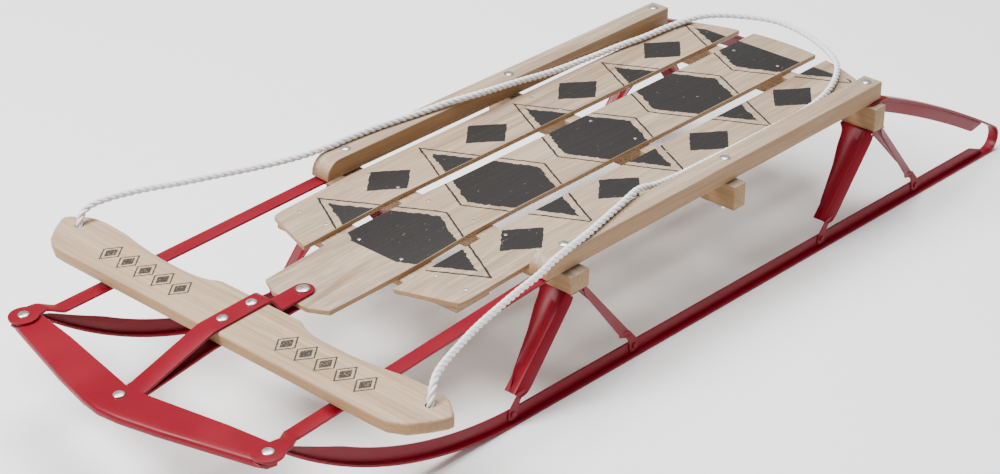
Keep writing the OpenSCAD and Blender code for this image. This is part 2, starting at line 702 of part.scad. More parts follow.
slat_centre();
slat_outer(1);  // slat_left
slat_outer(-1);  // slat_right
front_cleat();
rail(1);  // rail_left
rail(-1);  // rail_right
bench(0);  // bench_front
bench(1);  // bench_middle
bench(2);  // bench_rear
knee(1, 0);  // knee_front_left
knee(-1, 0);  // knee_front_right
knee(1, 2);  // knee_rear_left
knee(-1, 2);  // knee_rear_right
runner(1);  // runner_left
runner(-1);  // runner_right
runner_rise(1);  // runner_rise_left
runner_rise(-1);  // runner_rise_right
runner_turn(1);  // runner_turn_left
runner_turn(-1);  // runner_turn_right
runner_return(1);  // runner_return_left
runner_return(-1);  // runner_return_right
runner_tip(1);  // runner_tip_left
runner_tip(-1);  // runner_tip_right
side_strap(1);  // side_strap_left
side_strap(-1);  // side_strap_right
strap_tip(1);  // strap_tip_left
strap_tip(-1);  // strap_tip_right
bumper();
steering_bar();
centre_strap_upper();
centre_strap_lower();
rail_bolts();
rail_nuts();
rail_spacers();
slat_nails();
knee_welds();
pivot_bolt();
pivot_nut();
bar_rivets();
bumper_pin();
corner_rivet(1);  // corner_rivet_left
corner_rivet(-1);  // corner_rivet_right
rope_deck();
rope_left();
rope_right();
rope_knots();
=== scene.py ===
"""Steering sled: the looks. Lengths are in millimetres until level() turns them into metres."""
import math
import bmesh
import bpy
from mathutils import Matrix, Vector


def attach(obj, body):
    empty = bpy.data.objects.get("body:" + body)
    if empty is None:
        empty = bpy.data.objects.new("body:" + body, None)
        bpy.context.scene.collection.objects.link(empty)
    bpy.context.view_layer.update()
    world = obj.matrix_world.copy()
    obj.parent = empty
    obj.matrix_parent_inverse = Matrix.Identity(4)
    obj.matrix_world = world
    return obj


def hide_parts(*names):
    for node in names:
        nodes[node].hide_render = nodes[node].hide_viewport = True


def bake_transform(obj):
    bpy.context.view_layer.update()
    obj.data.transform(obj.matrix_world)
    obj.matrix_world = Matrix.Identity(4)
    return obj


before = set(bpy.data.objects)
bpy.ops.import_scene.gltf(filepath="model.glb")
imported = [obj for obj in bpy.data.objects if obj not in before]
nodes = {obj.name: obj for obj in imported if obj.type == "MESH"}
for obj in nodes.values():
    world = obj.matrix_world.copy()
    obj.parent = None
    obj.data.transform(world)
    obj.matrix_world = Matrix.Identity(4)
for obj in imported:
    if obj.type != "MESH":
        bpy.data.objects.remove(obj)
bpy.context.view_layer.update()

SIDES = (("left", 1), ("right", -1))

# ---- the sled's two planes, as in the CAD ----
BENCH_YS = (0, 265, 530)
BENCH_TALL = 29
BENCH_THIN = 20
BENCH_HALF = 183
RAIL_X = 160
RAIL_HALF = 13
HOLE_X = 256
HOLE_Y = -79
HOLE_R = 5
BAR_Z = 2
BAR_T = 15
KNEE_H = 120
SLAT_T = 6
STRAP_T = 2.8
BEND_Y = -15.5
NOSE_RUN = 199.5
STEER_REACH = 239
CORNER_X = 180
CORNER_Y = -212.5
MID_Y = 161.409
DECK_TILT = math.radians(0.9729)
NOSE_BEND = math.radians(2.5)


def turned(y, z, angle):
    return (y * math.cos(angle) - z * math.sin(angle), y * math.sin(angle) + z * math.cos(angle))


def level(x, y, z):
    """A point seen from below the front bolt, in the row frame."""
    return Vector((x, y - MID_Y, z)) / 1000


def on_deck(x, y, z):
    """A point of the deck's plane, in the row frame."""
    y, z = turned(y, z, DECK_TILT)
    return level(x, y, z + KNEE_H + BENCH_THIN)


def on_nose(x, y, z):
    """A deck point, bent down with the slats in front of the crossbeam. z is up from their underside."""
    if y < BEND_Y:
        dy, dz = turned(y - BEND_Y, z - SLAT_T, NOSE_BEND)
        y, z = BEND_Y + dy, SLAT_T + dz
    return on_deck(x, y, z)


def on_steer(x, y, z):
    """A point of the steering plane, whose origin is at the pivot."""
    dy, dz = turned(y - NOSE_RUN, z, NOSE_BEND)
    return on_deck(x, BEND_Y + dy, SLAT_T + dz)


# ---- camera ----
camera_data = bpy.data.cameras.new("camera")
camera_data.sensor_width = 36
camera_data.lens = 86.89
camera_data.clip_end = 100
camera = bpy.data.objects.new("camera", camera_data)
bpy.context.scene.collection.objects.link(camera)
bpy.context.scene.camera = camera
to_right = (0.73420, 0.67883, 0.01149)
to_up = (-0.32614, 0.33780, 0.88291)
to_back = (0.59546, -0.65198, 0.46941)
stand = (1.57416, -1.80705, 1.32489)
pose = [[to_right[i], to_up[i], to_back[i], stand[i]] for i in range(3)]
camera.matrix_world = Matrix(pose + [[0, 0, 0, 1]])


# ---- mesh tools ----
SMOOTH_ANGLE = 35
EDGE_STEPS = 3


def new_object(name, verts, faces, smooth_angle=SMOOTH_ANGLE, reshape=None):
    """A mesh object whose faces point outwards. reshape changes its mesh first."""
    mesh = bpy.data.meshes.new(name)
    mesh.from_pydata([tuple(v) for v in verts], [], faces)
    mesh.update()
    bm = bmesh.new()
    bm.from_mesh(mesh)
    if reshape:
        reshape(bm)
    bmesh.ops.recalc_face_normals(bm, faces=bm.faces)
    bm.to_mesh(mesh)
    bm.free()
    mesh.shade_smooth()
    mesh.set_sharp_from_angle(angle=math.radians(smooth_angle))
    obj = bpy.data.objects.new(name, mesh)
    bpy.context.scene.collection.objects.link(obj)
    return obj


class Parts:
    """Closed shells gathered into one mesh."""

    def __init__(self):
        self.verts = []
        self.faces = []

    def loft(self, rings):
        """Joins equal rings into a tube with closed ends."""
        n = len(rings[0])
        first = len(self.verts)
        for ring in rings:
            self.verts.extend(ring)
        for i in range(len(rings) - 1):
            for k in range(n):
                a = first + i * n + k
                b = first + i * n + (k + 1) % n
                self.faces.append((a, b, b + n, a + n))
        self.faces.append(tuple(first + k for k in reversed(range(n))))
        last = first + (len(rings) - 1) * n
        self.faces.append(tuple(last + k for k in range(n)))

    def object(self, name, smooth_angle=SMOOTH_ANGLE):
        return new_object(name, self.verts, self.faces, smooth_angle)


def offset_outline(outline, d):
    """A counterclockwise outline moved inwards by d, mitred."""
    out = []
    n = len(outline)
    for i in range(n):
        before, here, after = Vector(outline[i - 1]), Vector(outline[i]), Vector(outline[(i + 1) % n])
        a = (here - before).normalized()
        b = (after - here).normalized()
        normal = Vector((-a.y - b.y, a.x + b.x)).normalized()
        out.append(here + normal * d / max(0.5, normal.dot(Vector((-a.y, a.x)))))
    return out


def bezier(a, b, c, n):
    return [tuple((1 - t) ** 2 * p + 2 * t * (1 - t) * q + t * t * r for p, q, r in zip(a, b, c))
            for t in (i / n for i in range(n + 1))]


def softened(outline, r, n=3):
    """An outline whose sharp corners are rounded."""
    out = []
    count = len(outline)
    for i in range(count):
        before, here, after = Vector(outline[i - 1]), Vector(outline[i]), Vector(outline[(i + 1) % count])
        back = min(r, (here - before).length * 0.4)
        on = min(r, (after - here).length * 0.4)
        start = here + (before - here).normalized() * back
        end = here + (after - here).normalized() * on
        out.extend(bezier(start, here, end, n))
    return out


def plate(name, outline, low, high, r, place, cuts=()):
    """A sheet or board with rounded edges: the outline from low to high, cut where it bends, then placed."""
    turns = [math.pi / 2 * k / EDGE_STEPS for k in range(EDGE_STEPS + 1)]
    rings = [(r * (1 - math.sin(a)), low + r * (1 - math.cos(a))) for a in turns]
    rings += [(r * (1 - math.cos(a)), high - r * (1 - math.sin(a))) for a in turns]
    parts = Parts()
    parts.loft([[(p[0], p[1], z) for p in offset_outline(outline, inset)] for inset, z in rings])

    def cut_and_place(bm):
        for y in cuts:
            geom = bm.verts[:] + bm.edges[:] + bm.faces[:]
            bmesh.ops.bisect_plane(bm, geom=geom, plane_co=(0, y, 0), plane_no=(0, 1, 0))
        for v in bm.verts:
            v.co = place(*v.co)

    return new_object(name, parts.verts, parts.faces, reshape=cut_and_place)


def mirrored(half):
    """A counterclockwise outline from its right half, which runs from the front up to the rear."""
    return list(half) + [(-p[0], p[1]) for p in reversed(half) if p[0] > 0.01]


def profile_height(line, y):
    """Height and steepness of a bent sheet at y."""
    for (y0, z0), (y1, z1) in zip(line, line[1:]):
        if y <= y1:
            t = max(0, (y - y0) / (y1 - y0))
            return z0 + (z1 - z0) * t, (z1 - z0) / (y1 - y0)
    return line[-1][1], 0


def eased(line, reach):
    """A bent line whose corners are eased."""
    out = [line[0]]
    for before, here, after in zip(line, line[1:], line[2:]):
        b, h, a = Vector(before), Vector(here), Vector(after)
        start = h + (b - h).normalized() * min(reach, (b - h).length * 0.45)
        end = h + (a - h).normalized() * min(reach, (a - h).length * 0.45)
        out.extend(bezier(start, h, end, 4))
    return out + [line[-1]]


def finish_piece(obj, material, slot, body, *replaced):
    obj.data.materials.append(material)
    if replaced:
        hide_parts(*replaced)
    if body:
        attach(obj, body)
    return obj


# ---- materials ----
class Tree:
    """Short calls for building a node material."""

    def __init__(self, name):
        self.material = bpy.data.materials.new(name)
        self.material.use_nodes = True
        self.nodes = self.material.node_tree.nodes
        self.links = self.material.node_tree.links
        self.shader = self.nodes["Principled BSDF"]
        self.coords = self.nodes.new("ShaderNodeTexCoord")

    def link(self, a, b):
        self.links.new(a, b)

    def mapped(self, scale, location=(0, 0, 0)):
        m = self.nodes.new("ShaderNodeMapping")
        m.inputs["Scale"].default_value = scale
        m.inputs["Location"].default_value = location
        self.link(self.coords.outputs["Object"], m.inputs["Vector"])
        return m.outputs["Vector"]

    def noise(self, vector, scale, detail=4, rough=0.5, distortion=0):
        n = self.nodes.new("ShaderNodeTexNoise")
        n.inputs["Scale"].default_value = scale
        n.inputs["Detail"].default_value = detail
        n.inputs["Roughness"].default_value = rough
        n.inputs["Distortion"].default_value = distortion
        self.link(vector, n.inputs["Vector"])
        return n.outputs["Fac"]

    def ramp(self, value, stops):
        r = self.nodes.new("ShaderNodeValToRGB")
        while len(r.color_ramp.elements) < len(stops):
            r.color_ramp.elements.new(0.5)
        for element, (position, colour) in zip(r.color_ramp.elements, stops):
            element.position = position
            element.color = (*colour, 1)
        self.link(value, r.inputs["Fac"])
        return r.outputs["Color"]

    def mix(self, factor, a, b, how="MIX"):
        m = self.nodes.new("ShaderNodeMix")
        m.data_type = "RGBA"
        m.blend_type = how
        for socket, value in ((m.inputs["Factor"], factor), (m.inputs[6], a), (m.inputs[7], b)):
            if isinstance(value, (int, float)):
                socket.default_value = value
            elif isinstance(value, tuple):
                socket.default_value = (*value, 1)
            else:
                self.link(value, socket)
        return m.outputs[2]

    def maths(self, how, a, b=0.0, clamp=False):
        m = self.nodes.new("ShaderNodeMath")
        m.operation = how
        m.use_clamp = clamp
        for socket, value in zip(m.inputs, (a, b)):
            if isinstance(value, (int, float)):
                socket.default_value = value
            else:
                self.link(value, socket)
        return m.outputs[0]

    def range(self, value, low, high, to_low, to_high):
        m = self.nodes.new("ShaderNodeMapRange")
        m.interpolation_type = "SMOOTHSTEP"
        for key, number in (("From Min", low), ("From Max", high), ("To Min", to_low), ("To Max", to_high)):
            m.inputs[key].default_value = number
        self.link(value, m.inputs["Value"])
        return m.outputs["Result"]

    def bump(self, height, strength, distance):
        b = self.nodes.new("ShaderNodeBump")
        b.inputs["Strength"].default_value = strength
        b.inputs["Distance"].default_value = distance
        self.link(height, b.inputs["Height"])
        self.link(b.outputs["Normal"], self.shader.inputs["Normal"])

    def xyz(self, vector):
        s = self.nodes.new("ShaderNodeSeparateXYZ")
        self.link(vector, s.inputs[0])
        return s.outputs


def paint(name, dark, light):
    t = Tree(name)
    cloud = t.noise(t.mapped((1, 1, 1)), 14, 3)
    t.link(t.mix(cloud, dark, light), t.shader.inputs["Base Color"])
    peel = t.noise(t.mapped((1, 1, 1)), 420, 2)
    t.link(t.range(cloud, 0.3, 0.7, 0.32, 0.44), t.shader.inputs["Roughness"])
    t.shader.inputs["Specular IOR Level"].default_value = 0.22
    t.bump(peel, 0.12, 0.0004)
    return t.material


def plated(name):
    t = Tree(name)
    grain = t.noise(t.mapped((1, 1, 1)), 260, 5, 0.6)
    t.link(t.mix(grain, (0.50, 0.50, 0.50), (0.80, 0.80, 0.80)), t.shader.inputs["Base Color"])
    t.shader.inputs["Metallic"].default_value = 1
    t.link(t.range(grain, 0.3, 0.7, 0.25, 0.42), t.shader.inputs["Roughness"])
    t.bump(grain, 0.15, 0.0003)
    return t.material


def rope_yarn(name):
    t = Tree(name)
    fibre = t.noise(t.mapped((1, 1, 1)), 900, 4, 0.7)
    t.link(t.mix(fibre, (0.66, 0.66, 0.68), (0.93, 0.93, 0.94)), t.shader.inputs["Base Color"])
    t.shader.inputs["Roughness"].default_value = 0.7
    t.shader.inputs["Sheen Weight"].default_value = 0.2
    t.bump(fibre, 0.5, 0.0006)
    return t.material


def wood(name, along, seed, pale=(0.47, 0.365, 0.265), deep=(0.25, 0.165, 0.10), printed=None):
    """Satin hardwood whose grain runs along one axis, with painted shade on its side faces. printed adds a
    worn black pattern.
    """
    t = Tree(name)
    stretch = [1.0, 1.0, 1.0]
    stretch["XYZ".index(along)] = 0.05
    place = (seed * 0.37, seed * 0.71, seed * 0.19)
    flow = t.noise(t.mapped(tuple(stretch), place), 42, 5, 0.6, 1.2)
    streak = [1.0, 1.0, 1.0]
    streak["XYZ".index(along)] = 0.022
    fine = t.noise(t.mapped(tuple(streak), place), 330, 6, 0.65, 0.3)
    cloud = t.noise(t.mapped((1, 1, 1), place), 5, 3)
    middling = tuple((2 * p + d) / 3 for p, d in zip(pale, deep))
    colour = t.ramp(flow, [(0.28, deep), (0.46, middling), (0.62, pale)])
    colour = t.mix(t.range(fine, 0.42, 0.60, 0.45, 0.0), colour, tuple(c * 0.72 for c in deep))
    colour = t.mix(t.range(cloud, 0.35, 0.65, 0.0, 0.25), colour, (0.46, 0.32, 0.21))
    # Painted shade: faces that do not look up, such as board sides and ends, are darkened towards a deep
    # brown, as if they were in shade.
    side_shade_mask = t.maths("SUBTRACT", 1.0, t.maths("ABSOLUTE", t.xyz(t.coords.outputs["Normal"])[2]), True)
    painted_side_shade = t.mix(fine, (0.20, 0.095, 0.032), (0.36, 0.20, 0.075))
    colour = t.mix(t.range(side_shade_mask, 0.25, 0.9, 0.0, 0.80), colour, painted_side_shade)
    rough = t.range(fine, 0.3, 0.7, 0.58, 0.46)
    if printed:
        mask = printed(t, place)
        ink = t.mix(fine, (0.004, 0.004, 0.005), (0.016, 0.015, 0.015))
        colour = t.mix(mask, colour, ink)
    t.link(colour, t.shader.inputs["Base Color"])
    t.link(rough, t.shader.inputs["Roughness"])
    t.shader.inputs["Specular IOR Level"].default_value = 0.3
    t.bump(fine, 0.16, 0.0005)
    return t.material


def repeated(t, value, start, period):
    """Distance from the nearest of a row of centres."""
    return t.maths("PINGPONG", t.maths("SUBTRACT", value, start), period)


def upwards(t):
    """1 on a face that looks up, 0 elsewhere."""
    return t.maths("GREATER_THAN", t.xyz(t.coords.outputs["Normal"])[2], 0.9)


def between(t, value, low, high):
    return t.maths("MULTIPLY", t.maths("GREATER_THAN", value, low), t.maths("LESS_THAN", value, high))


def diamond(t, across, half_across, along, half_along):
    """1 in a diamond's middle, 0 on its edge and less outside it."""
    share = t.maths("ADD", t.maths("DIVIDE", across, half_across), t.maths("DIVIDE", along, half_along))
    return t.maths("SUBTRACT", 1.0, share)


# Both prints are laid out in metres, in the pieces' own coordinates.
DECK_PRINT_START = -0.235
DECK_PRINT_STEP = 0.078
DECK_PRINT_ENDS = (-0.275, 0.395)
LOZENGE_X = 0.098
BAR_PRINT_Y = -0.4705
BAR_PRINT_ENDS = (0.064, 0.200)


def deck_print(t, place):
    """A worn row of diamonds with small lozenges beside them, and a thin line round each diamond."""
    x, y, _ = t.xyz(t.coords.outputs["Object"])
    aside = t.maths("ABSOLUTE", x)
    along = repeated(t, y, DECK_PRINT_START, DECK_PRINT_STEP)
    speckle = t.noise(t.mapped((1, 1, 1), place), 75, 5, 0.7)
    ragged = t.maths("MULTIPLY", t.maths("SUBTRACT", speckle, 0.5), 0.22)
    edge = diamond(t, aside, 0.118, along, 0.062)
    worn = t.maths("ADD", edge, ragged)
    solid = t.maths("GREATER_THAN", worn, 0.08)
    line = between(t, t.maths("ADD", edge, t.maths("MULTIPLY", ragged, 0.35)), -0.10, -0.055)
    between_along = t.maths("SUBTRACT", DECK_PRINT_STEP, along)
    beside = t.maths("ABSOLUTE", t.maths("SUBTRACT", aside, LOZENGE_X))
    lozenge = diamond(t, beside, 0.030, between_along, 0.036)
    small = t.maths("GREATER_THAN", t.maths("ADD", lozenge, ragged), 0.05)
    shape = t.maths("MAXIMUM", t.maths("MAXIMUM", solid, line), small)
    scuffs = t.range(t.noise(t.mapped((1, 0.5, 1), place), 260, 6, 0.75), 0.30, 0.35, 0.0, 0.985)
    shape = t.maths("MULTIPLY", shape, scuffs)
    shape = t.maths("MULTIPLY", shape, between(t, y, *DECK_PRINT_ENDS))
    return t.maths("MULTIPLY", shape, upwards(t))


def bar_print(t, place):
    """A short row of outlined diamonds on each half of the bar."""
    x, y, _ = t.xyz(t.coords.outputs["Object"])
    aside = t.maths("ABSOLUTE", x)
    along = repeated(t, aside, 0.078, 0.0135)
    off = t.maths("ABSOLUTE", t.maths("SUBTRACT", y, BAR_PRINT_Y))
    edge = diamond(t, along, 0.0125, off, 0.0165)
    shape = t.maths("MAXIMUM", between(t, edge, 0.0, 0.18), t.maths("GREATER_THAN", edge, 0.42))
    scuffs = t.range(t.noise(t.mapped((1, 1, 1), place), 700, 4, 0.7), 0.36, 0.44, 0.25, 0.95)
    shape = t.maths("MULTIPLY", t.maths("MULTIPLY", shape, scuffs), between(t, aside, *BAR_PRINT_ENDS))
    return t.maths("MULTIPLY", shape, upwards(t))


red = paint("red_enamel", (0.150, 0.0004, 0.0075), (0.205, 0.0008, 0.0110))
zinc = plated("zinc_plate")
yarn = rope_yarn("rope_yarn")

# ---- tow rope ----
ROPE_D = 0.008
LAY = 0.026
ROPE_STEP = 0.0026
STRAND_SHARE = 0.47
KNOT_DROP = 8.2
KNOT_STEPS = 96
right_span = [(-256, -294, -4), (-256, -294, 12), (-257, -285, 25), (-254, -262, 29),
              (-243, -222, 29), (-226, -180, 28), (-209, -139, 28), (-192, -97, 28), (-177, -55, 29)]
deck_span = [(-171, -15, 29), (-170, 15, 29), (-166, 60, 29), (-157, 117, 29),
             (-150, 156, 30), (-142, 198, 29), (-142, 260, 22), (-141, 320, 15), (-140, 390, 11),
             (-136, 440, 11), (-131, 480, 11), (-128, 530, 11), (-117, 578, 11), (-88, 612, 9),
             (-42, 632, 8), (12, 622, 8), (65, 592, 11), (97, 562, 11), (123, 510, 11), (136, 447, 11),
             (136, 368, 11), (135, 300, 11), (133, 235, 11), (134, 205, 13), (138, 172, 19),
             (141, 150, 26), (145, 132, 30), (149, 114, 30), (157, 76, 29), (167, 32, 29), (174, -7, 29),
             (180, -38, 29)]
left_span = [(187, -67, 28), (193, -100, 28), (200, -135, 28), (210, -179, 28),
             (222, -217, 29), (238, -262, 29), (250, -284, 26), (256, -294, 12), (256, -294, -4)]
route = [on_deck(*p) for p in right_span + deck_span + left_span]


def smooth_line(points, step):
    """A smooth line through points, cut into steps."""
    out = []
    last = len(points) - 1
    for i in range(last):
        a, b, c, d = points[max(i - 1, 0)], points[i], points[i + 1], points[min(i + 2, last)]
        n = max(1, math.ceil((c - b).length / step))
        for k in range(n):
            t = k / n
            out.append(0.5 * (2 * b + (c - a) * t + (2 * a - 5 * b + 4 * c - d) * t * t
                              + (3 * b - a - 3 * c + d) * t ** 3))
    return out + [points[last]]


def line_length(points):
    return sum((b - a).length for a, b in zip(points, points[1:]))


def laid_strands(parts, points, diameter, lay, sides=8):
    """Three strands wound about a line."""
    strand_r = diameter / 2 * STRAND_SHARE
    off = diameter / 2 - strand_r
    tangents = []
    for i in range(len(points)):
        tangents.append((points[min(i + 1, len(points) - 1)] - points[max(i - 1, 0)]).normalized())
    normal = tangents[0].orthogonal().normalized()
    frames = []
    run = 0
    for i, tangent in enumerate(tangents):
        normal = (normal - tangent * normal.dot(tangent)).normalized()
        if i:
            run += (points[i] - points[i - 1]).length
        frames.append((normal.copy(), tangent.cross(normal), run))
    for strand in range(3):
        centres = []
        for point, (u, v, run) in zip(points, frames):
            a = 2 * math.pi * (run / lay + strand / 3)
            centres.append(point + (u * math.cos(a) + v * math.sin(a)) * off)
        rings = []
        for i, centre in enumerate(centres):
            ahead = (centres[min(i + 1, len(centres) - 1)] - centres[max(i - 1, 0)]).normalized()
            u = (frames[i][0] - ahead * frames[i][0].dot(ahead)).normalized()
            v = ahead.cross(u)
            turns = [2 * math.pi * k / sides for k in range(sides)]
            rings.append([centre + (u * math.cos(a) + v * math.sin(a)) * strand_r for a in turns])
        parts.loft(rings)


rope_line = smooth_line(route, ROPE_STEP)
rope_length = line_length(rope_line)
strands = Parts()
laid_strands(strands, rope_line, ROPE_D, LAY)
rope = strands.object("tow_rope", 80)

knots = Parts()
for _, side in SIDES:
    centre = on_steer(side * HOLE_X, HOLE_Y, BAR_Z - KNOT_DROP)
    loop = []
    for i in range(KNOT_STEPS + 1):
        a = 2 * math.pi * i / KNOT_STEPS
        swing = 2.55 + 1.35 * math.cos(3 * a)
        offset = Vector((swing * math.cos(2 * a), swing * math.sin(2 * a), 2.1 * math.sin(3 * a)))
        loop.append(centre + offset / 1000)
    laid_strands(knots, loop, 0.0066, 0.02, 6)
knot = knots.object("rope_knots_tied", 80)
finish_piece(knot, yarn, "rope", "steering", "rope_knots")

finish_piece(rope, yarn, "rope", None, "rope_deck", "rope_left", "rope_right")
tuple(rope_line[0])
[tuple(p) for p in rope_line]
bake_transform(rope)

# ---- deck slats ----
SLAT_NOSE = -234
CLEAT_Y = -106
CLEAT_HALF = 132
CLEAT_W = 24
CLEAT_T = 8
DECK_REAR = 591
DECK_ARC = 290


def end_arc(x):
    """Where the rounded rear end of the deck is, at x."""
    return DECK_REAR - DECK_ARC + math.sqrt(DECK_ARC ** 2 - x * x)


def deck_material(name, seed):
    return wood(name, "Y", seed, printed=deck_print)


slat_cuts = [BEND_Y - 4, BEND_Y, BEND_Y + 4] + [100 * k for k in range(-1, 6)]
centre_half = [(0, SLAT_NOSE), (25, SLAT_NOSE), (47, SLAT_NOSE + 11), (51, -133), (51, -85)]
centre_half += [(47, 60), (47, end_arc(47))]
centre_half += [(x, end_arc(x)) for x in (36, 24, 12, 0)]
centre = plate("centre_slat", mirrored(centre_half), 0, SLAT_T, 0.9, on_nose, slat_cuts)
finish_piece(centre, deck_material("slat_wood_centre", 1), "slats", "frame", "slat_centre")
for name, side in SIDES:
    outline = [(65, -153), (136, -130), (138, -118), (138, 545), (132, 554)]
    outline += [(x, end_arc(x)) for x in (124, 110, 95, 80, 65)]
    outline = softened(outline, 2.5, 2)
    if side < 0:
        outline = [(-x, y) for x, y in reversed(outline)]
    slat = plate("outer_slat_" + name, outline, 0, SLAT_T, 0.9, on_nose, slat_cuts)
    finish_piece(slat, deck_material("slat_wood_" + name, 3 + side), "slats", "frame", "slat_" + name)


def nail_head(parts, place, x, y, z):
    """A flush brad head: a low dome a little wider than its shank."""
    parts.loft([[place(x + r * math.cos(a), y + r * math.sin(a), z + up)
                 for a in (2 * math.pi * k / 14 for k in range(14))]
                for r, up in ((2.0, -0.6), (2.2, 0.05), (1.8, 0.2), (0.9, 0.3))])


heads = Parts()
for x0, x1 in ((-47, 47), (65, 138), (-138, -65)):
    for y in BENCH_YS:
        for x in (x0 + 14, x1 - 14):
            nail_head(heads, on_nose, x, y, SLAT_T)
    for x in (x0 + 16, x1 - 16):
        nail_head(heads, on_nose, x, CLEAT_Y, SLAT_T)
finish_piece(heads.object("brad_heads"), zinc, "zinc", "frame", "slat_nails")


def rectangle(x0, x1, y0, y1, r=1.5):
    return softened([(x0, y0), (x1, y0), (x1, y1), (x0, y1)], r, 3)


cleat_outline = rectangle(-CLEAT_HALF, CLEAT_HALF, CLEAT_Y - CLEAT_W, CLEAT_Y + CLEAT_W)
cleat = plate("cleat_board", cleat_outline, -CLEAT_T, 0, 0.8, on_nose)
finish_piece(cleat, wood("cleat_wood", "X", 9), "frame_wood", "frame", "front_cleat")

# ---- crossbeams and rails ----
bench_sizes = (("front", BENCH_TALL, BENCH_THIN), ("middle", BENCH_THIN, BENCH_TALL),
               ("rear", BENCH_THIN, BENCH_TALL))
for (name, wide, tall), bench_y in zip(bench_sizes, BENCH_YS):
    rests_level = name != "middle"

    def bench_place(x, y, z, bench_y=bench_y, tall=tall, rests_level=rests_level):
        top = on_deck(x, y + bench_y, 0)
        low = on_deck(x, y + bench_y, -tall)
        if rests_level:
            low = Vector((low.x, top.y, KNEE_H / 1000))
        return low.lerp(top, (z + tall) / tall)

    bench_outline = rectangle(-BENCH_HALF, BENCH_HALF, -wide / 2, wide / 2)
    bench = plate("crossbeam_" + name, bench_outline, -tall, 0, 1.2, bench_place)
    grain = wood("crossbeam_wood_" + name, "X", 5 + len(name))
    finish_piece(bench, grain, "frame_wood", "frame", "bench_" + name)
for name, side in SIDES:
    low, high, front, rear, round_r = STRAP_T, STRAP_T + 22, -40, 544, 20
    profile = [(front, low), (rear, low), (rear, high)]
    profile += [(front + round_r + round_r * math.cos(a), high - round_r + round_r * math.sin(a))
                for a in (math.pi / 2 + math.pi / 2 * i / 8 for i in range(9))]
    rail = plate("side_rail_" + name, softened(profile, 1.2, 2), -RAIL_HALF, RAIL_HALF, 1.4,
                 lambda y, z, x, side=side: on_deck(side * RAIL_X + x, y, z))
    finish_piece(rail, wood("rail_wood_" + name, "Y", 12 + side), "frame_wood", "frame", "rail_" + name)

# ---- runners ----
RUNNER_X = 177.2
FLANGE = 13.6
WEB_T = 2.4
RUNNER_H = 18
SWEEP_R = 530
TURN_R = 19
REAR = 804
RUNNER_REAR_X = 168
TAB_X = 163
TAB_R = 13
TAB_END = 553
WEB_END = 543


def seen_from_bolt(p):
    """[y, z] of a row point, seen from below the front bolt, in millimetres."""
    return (p.y * 1000 + MID_Y, p.z * 1000)


tip_bend = seen_from_bolt(on_steer(0, CORNER_Y + 15, -6.6))
tip_end = seen_from_bolt(on_steer(0, CORNER_Y - 14, -6.6))
sweep_y = tip_bend[0] + math.sqrt(SWEEP_R ** 2 - (SWEEP_R - tip_bend[1]) ** 2)
sweep_a = math.atan2(tip_bend[1] - SWEEP_R, tip_bend[0] - sweep_y)
turn_y = REAR - TURN_R
tab_end = seen_from_bolt(on_deck(0, 550, STRAP_T))
turn_exit = math.radians(60)
lean = (RUNNER_X - RUNNER_REAR_X) / (turn_y - BENCH_YS[2])


def arc_points(cy, cz, r, start, end, n):
    turns = [start + (end - start) * i / n for i in range(n + 1)]
    return [(cy + r * math.cos(a), cz + r * math.sin(a)) for a in turns]


sweep = arc_points(sweep_y, SWEEP_R, SWEEP_R, sweep_a, -math.pi / 2, 28)
sole = [(sweep[-1][0] + (turn_y - sweep[-1][0]) * i / 24, 0) for i in range(1, 25)]
u_turn = arc_points(turn_y, TURN_R, TURN_R, -math.pi / 2, turn_exit, 20)[1:]
lead = 0.5 * math.dist(tab_end, u_turn[-1])
lean_point = (u_turn[-1][0] - lead * math.sin(turn_exit), u_turn[-1][1] + lead * math.cos(turn_exit))
back_run = bezier(u_turn[-1], lean_point, tab_end, 20)[1:]


def strip_rings(line, x_at, half, low, high_at, r):
    """Rounded box sections, square to a [y, z] line, low to high to its left."""
    rings = []
    for i, (y, z) in enumerate(line):
        a = Vector(line[max(i, 1)]) - Vector(line[max(i, 1) - 1])
        b = Vector(line[min(i + 1, len(line) - 1)]) - Vector(line[min(i, len(line) - 2)])
        along = (a.normalized() + b.normalized()).normalized()
        left = Vector((-along.y, along.x))
        high = high_at(y)
        section = softened([(-half, low), (half, low), (half, high), (-half, high)], r, 2)
        ring = []
        for u, v in section:
            p = Vector((y, z)) + left * v
            ring.append(level(x_at(y) + u, p.x, p.y))
        rings.append(ring)
    return rings


